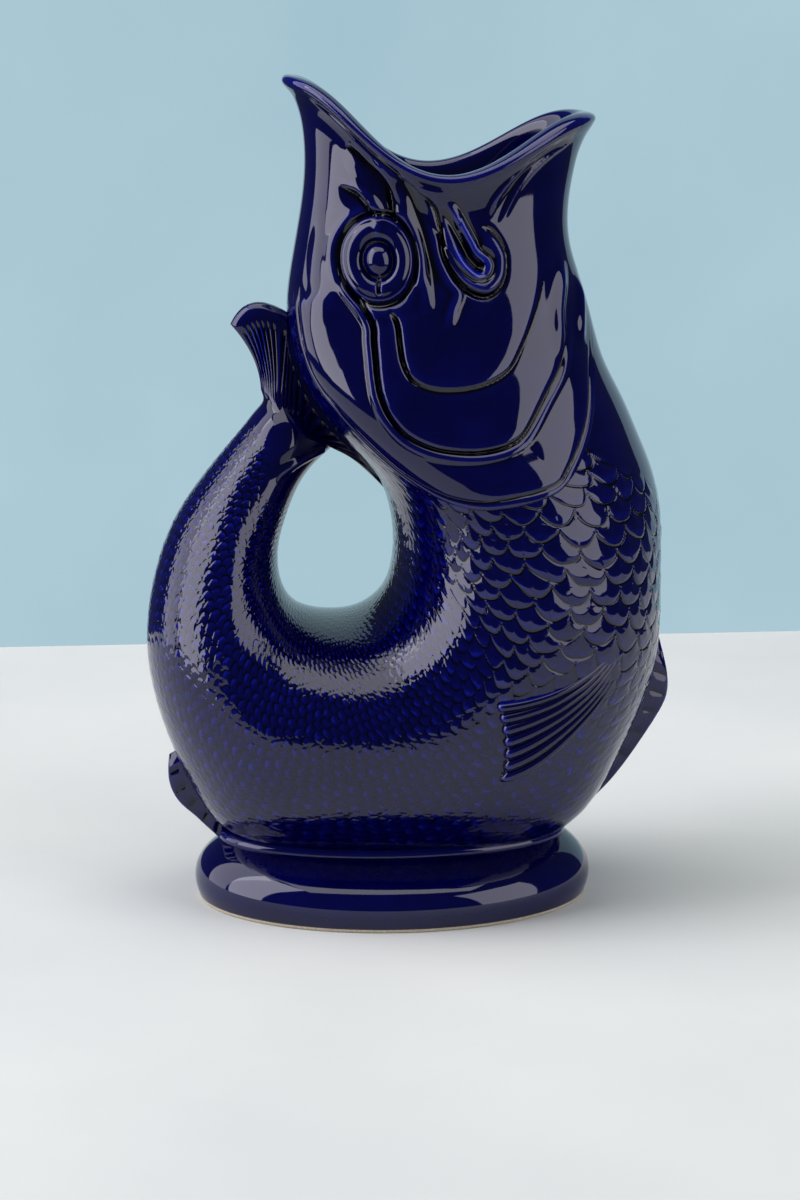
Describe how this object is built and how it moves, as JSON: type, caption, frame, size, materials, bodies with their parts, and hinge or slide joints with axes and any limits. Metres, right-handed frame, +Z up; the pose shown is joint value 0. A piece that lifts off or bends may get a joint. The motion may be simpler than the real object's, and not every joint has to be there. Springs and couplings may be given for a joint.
{
  "type": "gurgle jug",
  "caption": "Fish-shaped glazed earthenware gurgle jug: open mouth pours, and a hollow curled tail is the handle and makes the gurgle.",
  "frame": {"origin": "middle of the oval foot's standing face", "axes": "+Z up to the mouth, +X towards the belly and the pouring lip, -X towards the tail handle, +Y the fish's left side"},
  "size_m": [0.1777, 0.1206, 0.2773],
  "materials": {
    "cobalt_glaze": "deep cobalt blue gloss glaze",
    "bare_clay": "unglazed fired earthenware"
  },
  "bodies": {
    "root": {"foot": "cobalt_glaze", "shoulder_shell": "cobalt_glaze", "belly_shell": "cobalt_glaze", "base_shell": "cobalt_glaze", "head_shell": "cobalt_glaze", "tail_root_shell": "cobalt_glaze", "tail_shell": "cobalt_glaze", "upper_lip": "cobalt_glaze", "lower_lip": "cobalt_glaze", "tail_fin_upper": "cobalt_glaze", "tail_fin_lower": "cobalt_glaze", "belly_fin": "cobalt_glaze", "anal_fin": "cobalt_glaze", "pectoral_fin_left": "cobalt_glaze", "pectoral_fin_right": "cobalt_glaze", "gill_cover_left": "cobalt_glaze", "gill_cover_right": "cobalt_glaze", "cheek_fold_left": "cobalt_glaze", "cheek_fold_right": "cobalt_glaze", "jaw_lobe_left": "cobalt_glaze", "jaw_lobe_right": "cobalt_glaze", "eye_left": "cobalt_glaze", "eye_right": "cobalt_glaze", "foot_ring": "bare_clay"}
  },
  "joints": []
}
